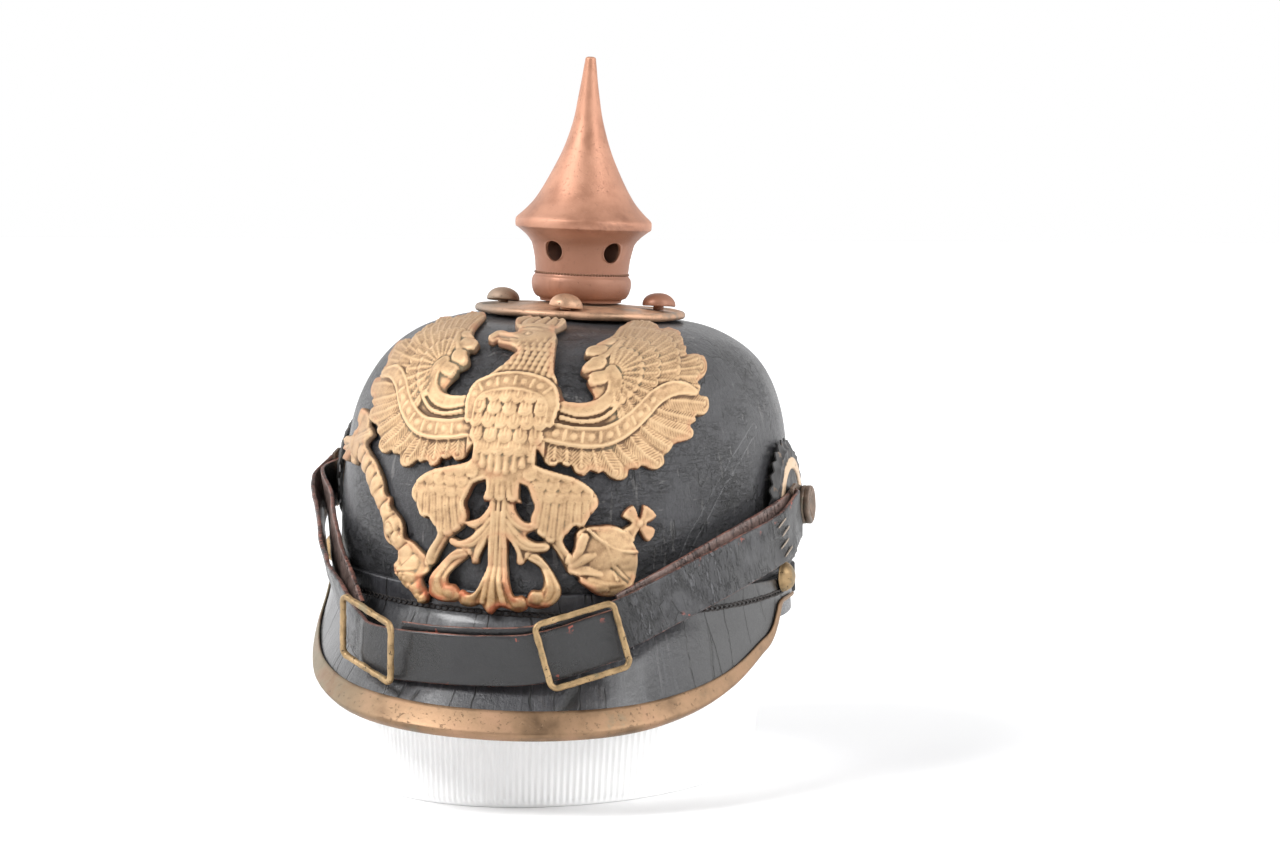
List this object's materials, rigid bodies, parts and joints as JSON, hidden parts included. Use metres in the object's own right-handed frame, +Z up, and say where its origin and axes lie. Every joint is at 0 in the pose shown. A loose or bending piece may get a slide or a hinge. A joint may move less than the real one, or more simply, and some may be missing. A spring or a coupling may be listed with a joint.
{
  "type": "spiked helmet on a plain stand",
  "caption": "Black leather parade helmet with metal-edged visor, tall vented spike, spread-eagle front plate, side cockades and buckled chin strap, resting on a plain oval stand.",
  "frame": {"origin": "centre of the stand's foot, on the surface it stands on", "axes": "+Z up, the front of the helmet faces -Y, +X is the wearer's left"},
  "size_m": [0.1891, 0.2594, 0.2648],
  "materials": {
    "black_leather": "old black lacquered leather, finely cracked",
    "strap_leather": "black face, red-brown edges and suede back",
    "worn_brass": "dull, pitted, with green tarnish",
    "gilt_brass": "matte gilding, worn red-brown on high edges",
    "copper_toned_brass": "matte, copper pink",
    "black_enamel": "black rim, cream ring",
    "grey_steel": "dull",
    "white_matte": "matte white, fine upright ribs"
  },
  "bodies": {
    "root": {"skull": "black_leather", "front_visor": "black_leather", "rear_visor": "black_leather", "visor_trim": "worn_brass", "rear_spine": "worn_brass", "spike": "copper_toned_brass", "spike_base": "worn_brass", "plate_stud_front": "copper_toned_brass", "plate_stud_left": "copper_toned_brass", "plate_stud_rear": "copper_toned_brass", "plate_stud_right": "copper_toned_brass", "cockade_left": "black_enamel", "cockade_right": "black_enamel", "side_post_left": "grey_steel", "side_post_right": "grey_steel", "strap_lug_left": "worn_brass", "strap_lug_right": "worn_brass", "visor_rivet_left": "worn_brass", "visor_rivet_right": "worn_brass", "strap_left": "strap_leather", "strap_right": "strap_leather", "buckle_left": "worn_brass", "buckle_right": "worn_brass", "eagle_plate": "gilt_brass", "stand": "white_matte"}
  },
  "joints": []
}
